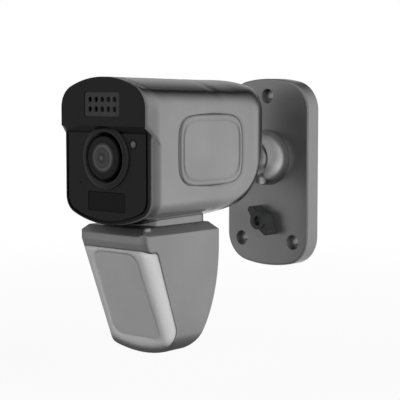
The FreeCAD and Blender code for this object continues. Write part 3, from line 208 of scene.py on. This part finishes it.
seen = mix(tree, eyeRay, mix(tree, shinyRay, ambient, horizon), white)
addNode(tree, "ShaderNodeOutputWorld", {}, {"Surface": seen.outputs[0]})
print("world set")

# floor: white paper that keeps a faint shadow
# metal sees it with painted shade below the object: dark grey near the middle, fading to the horizon further
# out
floorSpec = {"half": 6.0, "below": 0.035, "middle": (0.0, -0.09), "paper": "fbfbfb", "bounce": "a0a0a0",
             "under": "3a3a3a", "kept": 0.09, "near": 0.2, "far": 0.8, "mirrorNear": -0.03, "mirrorFar": 0.24}
floorZ = cadBox[0][2] - floorSpec["below"]
h = floorSpec["half"]
floorMesh = bpy.data.meshes.new("floor")
corners = [(-h, -h, floorZ), (h, -h, floorZ), (h, h, floorZ), (-h, h, floorZ)]
floorMesh.from_pydata(corners, [], [(0, 1, 2, 3)])
floor = bpy.data.objects.new("floor", floorMesh)
scene.collection.objects.link(floor)
floorPaper, tree = newMaterial("paperSweep")
coords = addNode(tree, "ShaderNodeTexCoord")
offset = addNode(tree, "ShaderNodeVectorMath", {"operation": "SUBTRACT"}, {0: coords.outputs["Object"]})
offset.inputs[1].default_value = (*floorSpec["middle"], floorZ)
away = addNode(tree, "ShaderNodeVectorMath", {"operation": "LENGTH"}, {"Vector": offset.outputs["Vector"]})
fade = addNode(tree, "ShaderNodeMapRange", {"From Min": floorSpec["near"], "From Max": floorSpec["far"],
               "To Min": 1 - floorSpec["kept"], "To Max": 1.0}, {"Value": away.outputs["Value"]})
mirrorFade = addNode(tree, "ShaderNodeMapRange",
                     {"From Min": floorSpec["mirrorNear"], "From Max": floorSpec["mirrorFar"]},
                     {"Value": away.outputs["Value"]})
heading = addNode(tree, "ShaderNodeVectorMath", {"operation": "NORMALIZE"}, {0: offset.outputs["Vector"]})
eyeRay, shinyRay = rayKinds(tree)
paper = addNode(tree, "ShaderNodeBsdfDiffuse", {"Color": linear(floorSpec["paper"])})
bounce = addNode(tree, "ShaderNodeBsdfDiffuse", {"Color": linear(floorSpec["bounce"])})
# painted shade: the dark grey that metal sees on the floor near the object
under = addNode(tree, "ShaderNodeBsdfDiffuse", {"Color": linear(floorSpec["under"])})
white = addNode(tree, "ShaderNodeEmission", {"Color": (1, 1, 1, 1), "Strength": 1.0})
glow = addNode(tree, "ShaderNodeEmission", {"Color": (1, 1, 1, 1)},
               {"Strength": horizonLevel(tree, heading.outputs["Vector"])})
toEye = mix(tree, fade.outputs["Result"], paper, white)
toMetal = mix(tree, mirrorFade.outputs["Result"], under, glow)
finishMaterial(tree, mix(tree, eyeRay, mix(tree, shinyRay, bounce, toMetal), toEye))
floorMesh.materials.append(floorPaper)
print("floor set")

# what every finish has unless it says otherwise; sizes in mm
# a real coat's grain is about a tenth of this, and is drawn this coarse so that it shows
plainFinish = {"metal": 0.0, "swing": 0.06, "cloudMm": 30.0, "grainMm": 0.8, "bump": 0.1, "reliefMm": 0.02,
               "roughSwing": 0.07, "noiseFrom": 0.3, "noiseTo": 0.7, "edgeRays": 8, "sockets": {}}


def softEdges(tree, coords, stops, rays):
    # a normal that rounds the edges' highlight; stops: place along Y and radius, in mm
    first, reach = stops[0][0], stops[-1][0] - stops[0][0]
    widest = max(radius for _, radius in stops)
    place = addNode(tree, "ShaderNodeSeparateXYZ", links={"Vector": coords.outputs["Object"]})
    along = addNode(tree, "ShaderNodeMapRange", {"From Min": first / 1000, "From Max": stops[-1][0] / 1000},
                    {"Value": place.outputs["Y"]})
    spread = addNode(tree, "ShaderNodeValToRGB", links={"Fac": along.outputs["Result"]})
    setStops(spread, greys([((at - first) / reach, radius / widest) for at, radius in stops]))
    radius = addNode(tree, "ShaderNodeMath", {"operation": "MULTIPLY"}, {0: spread.outputs["Color"]})
    radius.inputs[1].default_value = widest / 1000
    soft = addNode(tree, "ShaderNodeBevel", {"samples": rays}, {"Radius": radius.outputs["Value"]})
    return soft.outputs["Normal"]


def sprayedOrMoulded(name, own):
    # one coat: base colour with faint clouds, and a fine grain in roughness and bump
    spec = {**plainFinish, **own}
    mat, tree = newMaterial(name)
    coords = addNode(tree, "ShaderNodeTexCoord")
    cloud = addNode(tree, "ShaderNodeTexNoise", {"Scale": 1000 / spec["cloudMm"], "Detail": 3.0},
                    {"Vector": coords.outputs["Object"]})
    grain = addNode(tree, "ShaderNodeTexNoise", {"Scale": 1000 / spec["grainMm"], "Detail": 2.0},
                    {"Vector": coords.outputs["Object"]})
    tone = addNode(tree, "ShaderNodeValToRGB", links={"Fac": cloud.outputs["Fac"]})
    base = linear(spec["colour"])[:3]
    setStops(tone, [(spec["noiseFrom"], [c * (1 - spec["swing"]) for c in base] + [1]),
                    (spec["noiseTo"], [min(1, c * (1 + spec["swing"])) for c in base] + [1])])
    rough = addNode(tree, "ShaderNodeMapRange",
                    {"From Min": spec["noiseFrom"], "From Max": spec["noiseTo"],
                     "To Min": spec["rough"] * (1 - spec["roughSwing"]),
                     "To Max": spec["rough"] * (1 + spec["roughSwing"])}, {"Value": grain.outputs["Fac"]})
    bump = addNode(tree, "ShaderNodeBump", {"Strength": spec["bump"], "Distance": spec["reliefMm"] / 1000},
                   {"Height": grain.outputs["Fac"]})
    if "edgeMm" in spec:
        tree.links.new(softEdges(tree, coords, spec["edgeMm"], spec["edgeRays"]), bump.inputs["Normal"])
    shader = addNode(tree, "ShaderNodeBsdfPrincipled", {"Metallic": spec["metal"], **spec["sockets"]},
                     {"Base Color": tone.outputs["Color"], "Roughness": rough.outputs["Result"],
                      "Normal": bump.outputs["Normal"]})
    finishMaterial(tree, shader)
    return mat


lacquer = {"colour": "989898", "metal": 1.0, "rough": 0.22, "grainMm": 0.5, "bump": 0.12}
finishes = {
    # metallic lacquer sprayed on die-cast metal: wide soft mirror bands, rounder at the collar and the tail
    "lacqueredCastShell": {**lacquer, "on": ["body_shell"],
                           "edgeMm": [(-145, 3.2), (-136, 3.2), (-131, 0.8), (-101, 0.8), (-96, 5.0),
                                      (-36, 5.0)]},
    # the same lacquer on the pressed covers: crisper lines at the rim
    "lacqueredPressedCover": {**lacquer, "on": ["side_cover_left", "side_cover_right"],
                              "edgeMm": [(-145, 0.9), (0, 0.9)]},
    # the same lacquer sprayed drier on the lamp: flat, even faces with a soft front edge
    "lacqueredCastLamp": {**lacquer, "on": ["lamp_neck", "lamp_housing"], "rough": 0.36,
                          "edgeMm": [(-145, 1.6), (-128, 1.6), (-120, 0.7), (0, 0.7)]},
    # metallic powder coat baked on cast zinc: darker and duller than the camera
    "powderCoatedCastZinc": {"on": ["wall_plate"], "colour": "8e8e8e", "metal": 0.8, "rough": 0.3,
                             "grainMm": 0.5, "bump": 0.12},
    # satin chrome plated on turned steel: bright dome and stud, with one soft highlight
    "satinChromedSteel": {"on": ["socket_dome", "ball_stud"], "colour": "c8c8c8", "metal": 1.0, "rough": 0.3,
                          "swing": 0.03, "bump": 0.03},
    # ABS moulded in a fine spark-eroded texture: an even, dull black
    "texturedAbs": {"on": ["front_bezel", "lens_holder"], "colour": "121212", "rough": 0.5, "bump": 0.15,
                    "sockets": {"Specular IOR Level": 0.24}},
    # ABS moulded smooth: a shade glossier than the bezel round it
    "smoothAbs": {"on": ["front_panel", "microphone", "eye_sensor", "image_sensor"], "colour": "111111",
                  "rough": 0.45, "bump": 0.04, "sockets": {"Specular IOR Level": 0.23}},
    # infrared polycarbonate, moulded and polished: the deepest black of the front
    "polishedIrPolycarbonate": {"on": ["motion_window"], "colour": "060606", "rough": 0.3, "bump": 0.0,
                                "sockets": {"Specular IOR Level": 0.16}},
    # black anodised aluminium, turned: satin inside of the lens
    "anodisedBarrel": {"on": ["lens_barrel"], "colour": "0f0f10", "rough": 0.38, "bump": 0.05,
                       "sockets": {"Specular IOR Level": 0.2}},
    # turned aluminium with a grey anodised coat: the thin lighter line round the glass
    "greyAnodisedRing": {"on": ["glass_ring"], "colour": "4a4a4b", "metal": 1.0, "rough": 0.3, "bump": 0.02},
    # black solder mask, printed: flat black board behind the panel's holes
    "blackSolderMask": {"on": ["front_board"], "colour": "0a0c0b", "rough": 0.5, "bump": 0.02},
    # punched steel with a sprayed dark paint: a grey plate that sets off its holes
    "paintedPunchedSteel": {"on": ["speaker_grille"], "colour": "303030", "rough": 0.5, "bump": 0.2,
                            "sockets": {"Specular IOR Level": 0.25}},
    # nylon moulded with a coarse grip texture: dull dark grey
    "mouldedNylon": {"on": ["wing_knob"], "colour": "2e2f2f", "rough": 0.4, "bump": 0.2},
    # polycarbonate moulded in a frosted tool: pale, with soft light round its bends
    "frostedPolycarbonate": {"on": ["light_cover"], "colour": "b6b6b6", "rough": 0.42, "bump": 0.1,
                             "edgeMm": [(-145, 5.0), (0, 5.0)]},
    # opal acrylic, cut from sheet: the flat, darker pane
    "opalAcrylic": {"on": ["light_pane"], "colour": "a2a2a2", "rough": 0.5, "bump": 0.1},
    # steel, zinc plated in a barrel: light grey fasteners and cans
    "zincPlatedSteel": {"on": ["back_cover", "cover_screws", "lock_nut", "clamp_lever", "clamp_nut",
                               "clamp_screw", "board_screws", "tray_screws", "neck_screws", "shield_can",
                               "motion_sensor", "power_inlet"],
                        "colour": "b5b7b9", "metal": 1.0, "rough": 0.32},
    # turned brass: warm yellow thread
    "turnedBrass": {"on": ["stud_insert"], "colour": "c9a45c", "metal": 1.0, "rough": 0.3},
    # moulded silicone rubber: matt black
    "mouldedRubber": {"on": ["front_seal", "mic_seal", "inlet_plug"], "colour": "1b1b1b", "rough": 0.7},
    # green and white solder mask, printed: glossy boards
    "greenSolderMask": {"on": ["main_board", "power_board", "inlet_bracket", "lamp_driver"],
                        "colour": "1f5a3a", "rough": 0.4},
    "whiteSolderMask": {"on": ["led_board", "reflector"], "colour": "e4e4e0", "rough": 0.45},
    # glass-filled nylon, moulded: dark inner frames
    "glassFilledNylon": {"on": ["speaker", "speaker_cone", "battery_cradle", "power_tray"],
                         "colour": "2b2b2c", "rough": 0.45},
    # PVC sleeve shrunk on the cells: glossy blue
    "shrunkPvcSleeve": {"on": ["battery_cells"], "colour": "2f6a9e", "rough": 0.35},
    # gold flashed copper, etched on film: dull gold strip
    "goldFlashedFilm": {"on": ["antenna"], "colour": "a98643", "rough": 0.35, "metal": 0.5},
    # phosphor in cast silicone: yellow faces of the white diodes
    "castPhosphor": {"on": ["leds"], "colour": "e5c65a", "rough": 0.5},
    # clear cast epoxy: glassy domes of the infrared diodes
    "castEpoxy": {"on": ["night_leds"], "colour": "c9c4d0", "rough": 0.15},
    # extruded red PVC: the wires to the lamp
    "extrudedRedPvc": {"on": ["lamp_lead"], "colour": "7a2020", "rough": 0.5},
    # bare cast aluminium: rough light grey fins
    "bareCastAluminium": {"on": ["heat_sink"], "colour": "a9abad", "metal": 1.0, "rough": 0.5},
    # ground and polished optical glass: dark, with a sharp highlight
    "polishedOpticalGlass": {"on": ["lens_front_glass", "lens_elements"], "colour": "0b0c10", "rough": 0.05,
                             "bump": 0.0, "sockets": {"IOR": 1.42}},
}
coats = {name: sprayedOrMoulded(name, spec) for name, spec in finishes.items()}
for name, spec in finishes.items():
    for wearer in spec["on"]:
        dress(wearer, coats[name])
print("finishes set:", len(coats))


def ringsPiece(name, points, material, standsFor):
    # points: rings x steps x 3; quads join neighbouring rings, and one flat face closes the last ring
    rings, steps = points.shape[:2]
    a, b = np.meshgrid(np.arange(rings - 1), np.arange(steps), indexing="ij")
    after = (b + 1) % steps
    quads = np.stack([a * steps + b, a * steps + after, (a + 1) * steps + after, (a + 1) * steps + b], -1)
    lastRing = np.arange(steps) + (rings - 1) * steps
    mesh = bpy.data.meshes.new(name)
    mesh.from_pydata(points.reshape(-1, 3).tolist(), [], quads.reshape(-1, 4).tolist() + [lastRing.tolist()])
    mesh.polygons.foreach_set("use_smooth", np.ones(len(mesh.polygons), bool))
    mesh.materials.append(material)
    mesh.update()
    piece = bpy.data.objects.new(name, mesh)
    scene.collection.objects.link(piece)
    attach(piece, "camera")
    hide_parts(standsFor)


# side covers: flat plates with a rolled rim in a groove, and a fine line inside the rim
sideCoverSpec = {
    "power": 4.4, "grooveMm": 1.2, "steps": 96,
    # inset from the recess's edge, and height over the cover's face
    "rimMm": [(-0.3, -1.1), (0.25, -0.95), (0.5, -0.8), (0.62, -0.5), (0.95, -0.22), (1.5, -0.04),
              (1.9, 0.12), (2.4, 0.1), (2.8, -0.06), (3.05, -0.4), (3.25, -0.46), (3.45, -0.4),
              (3.7, -0.06), (4.2, 0.0)],
    "inner": (0.82, 0.62, 0.4, 0.2, 0.02),          # rings of the flat middle, as shares of its size
}


def sideCover(name, node, side):
    # superellipse rings: y = a cos^(2/n), z = b sin^(2/n), inset by the rim's profile, then shrunk to the
    # middle; x is the cover's face plus the profile's height
    low, high = (np.array(corner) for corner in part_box(node))
    middle = (low + high) / 2
    reach = (high - low)[1:] / 2 + sideCoverSpec["grooveMm"] / 1000
    surface = max(abs(low[0]), abs(high[0]))
    rim, inner = np.array(sideCoverSpec["rimMm"]) / 1000, sideCoverSpec["inner"]
    inset = np.concatenate([rim[:, 0], np.full(len(inner), rim[-1, 0])])
    lift = np.concatenate([rim[:, 1], np.zeros(len(inner))])
    share = np.concatenate([np.ones(len(rim)), inner])
    angle = np.linspace(0, 2 * np.pi, sideCoverSpec["steps"], endpoint=False)
    power = 2 / sideCoverSpec["power"]
    c = np.sign(np.cos(angle)) * np.abs(np.cos(angle)) ** power
    s = np.sign(np.sin(angle)) * np.abs(np.sin(angle)) ** power
    y = middle[1] + side * ((reach[0] - inset) * share)[:, None] * c
    z = middle[2] + ((reach[1] - inset) * share)[:, None] * s
    x = side * (surface + np.repeat(lift[:, None], len(angle), 1))
    ringsPiece(name, np.stack([x, y, z], -1), coats["lacqueredPressedCover"], node)


sideCover("side_cover_plate_right", "side_cover_right", 1)
sideCover("side_cover_plate_left", "side_cover_left", -1)
print("side covers made")


def roundOf(node):
    # x and z of a round node's axis, which lies along Y, and its radius
    low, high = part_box(node)
    return (low[0] + high[0]) / 2, (low[2] + high[2]) / 2, (high[0] - low[0]) / 2


def ringedCoat(name, x0, z0, reach, spec):
    # colour by distance from an axis along Y; stops: share of the reach and sRGB hex
    mat, tree = newMaterial(name)
    coords = addNode(tree, "ShaderNodeTexCoord")
    flat = addNode(tree, "ShaderNodeVectorMath", {"operation": "MULTIPLY"}, {0: coords.outputs["Object"]})
    flat.inputs[1].default_value = (1, 0, 1)
    away = addNode(tree, "ShaderNodeVectorMath", {"operation": "DISTANCE"}, {0: flat.outputs["Vector"]})
    away.inputs[1].default_value = (x0, 0, z0)
    share = addNode(tree, "ShaderNodeMapRange", {"From Max": reach}, {"Value": away.outputs["Value"]})
    rings = addNode(tree, "ShaderNodeValToRGB", links={"Fac": share.outputs["Result"]})
    setStops(rings, [(at, linear(colour)) for at, colour in spec["stops"]])
    shader = addNode(tree, "ShaderNodeBsdfPrincipled",
                     {"Roughness": spec["rough"], "Specular IOR Level": spec["specular"]},
                     {"Base Color": rings.outputs["Color"]})
    finishMaterial(tree, shader)
    return mat


# coated optical glass, ground to a dome: its pale middle and pale rings are painted reflections of the inner
# faces
lensGlassSpec = {
    "bulgeMm": 1.1, "behindRimMm": 0.25, "fill": 0.93, "rings": 12, "innerRing": 0.05, "steps": 64,
    "rough": 0.12, "specular": 0.35,
    "stopsMm": [(0.0, "4c4c4d"), (1.1, "464647"), (1.5, "1a1a1b"), (2.6, "2a2a2b"), (3.6, "343435"),
                (5.2, "2a2a2b"), (5.7, "444445"), (6.3, "484849"), (6.9, "303031")],
}


def lensGlass(spec):
    # a cap: y = front - bulge (1 - (r / R)^2), out to just inside the ring
    x0, z0, radius = roundOf("glass_ring")
    reach = radius * spec["fill"]
    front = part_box("glass_ring")[0][1] + spec["behindRimMm"] / 1000
    angle = np.linspace(0, 2 * np.pi, spec["steps"], endpoint=False)
    r, a = np.meshgrid(np.linspace(1, spec["innerRing"], spec["rings"]), angle, indexing="ij")
    y = front - spec["bulgeMm"] / 1000 * (1 - r ** 2)
    points = np.stack([x0 + reach * r * np.cos(a), y, z0 + reach * r * np.sin(a)], -1)
    lastMm = spec["stopsMm"][-1][0]
    stops = [(at / lastMm, colour) for at, colour in spec["stopsMm"]]
    coat = ringedCoat("opticalGlassPaintedReflections", x0, z0, lastMm / 1000, {**spec, "stops": stops})
    ringsPiece("lens_glass_dome", points, coat, "lens_front_glass")


lensGlass(lensGlassSpec)

roundSpec = {
    # black anodised aluminium, turned: a satin black ring, with a painted highlight at its inner lip and a
    # fainter one at its outer edge
    "lens_ring": {"name": "anodisedLensRingPaintedHighlights", "rough": 0.28, "specular": 0.3,
                  "stops": [(0.0, "2c2c2c"), (0.8, "3a3a3a"), (0.87, "0b0b0c"), (0.96, "0e0e0f"),
                            (1.0, "222223")]},
    # smoked polycarbonate, moulded: a grey eye with a dark rim
    "eye_window": {"name": "smokedPolycarbonate", "rough": 0.25, "specular": 0.4,
                   "stops": [(0.0, "5a5a5a"), (0.68, "484848"), (0.8, "0a0a0a"), (1.0, "0a0a0a")]},
}
for nodeName, spec in roundSpec.items():
    dress(nodeName, ringedCoat(spec["name"], *roundOf(nodeName), spec))
undressed = [name for name, node in nodes.items() if not len(node.data.materials)]
print("lens and eye window made; nodes without a finish:", undressed)
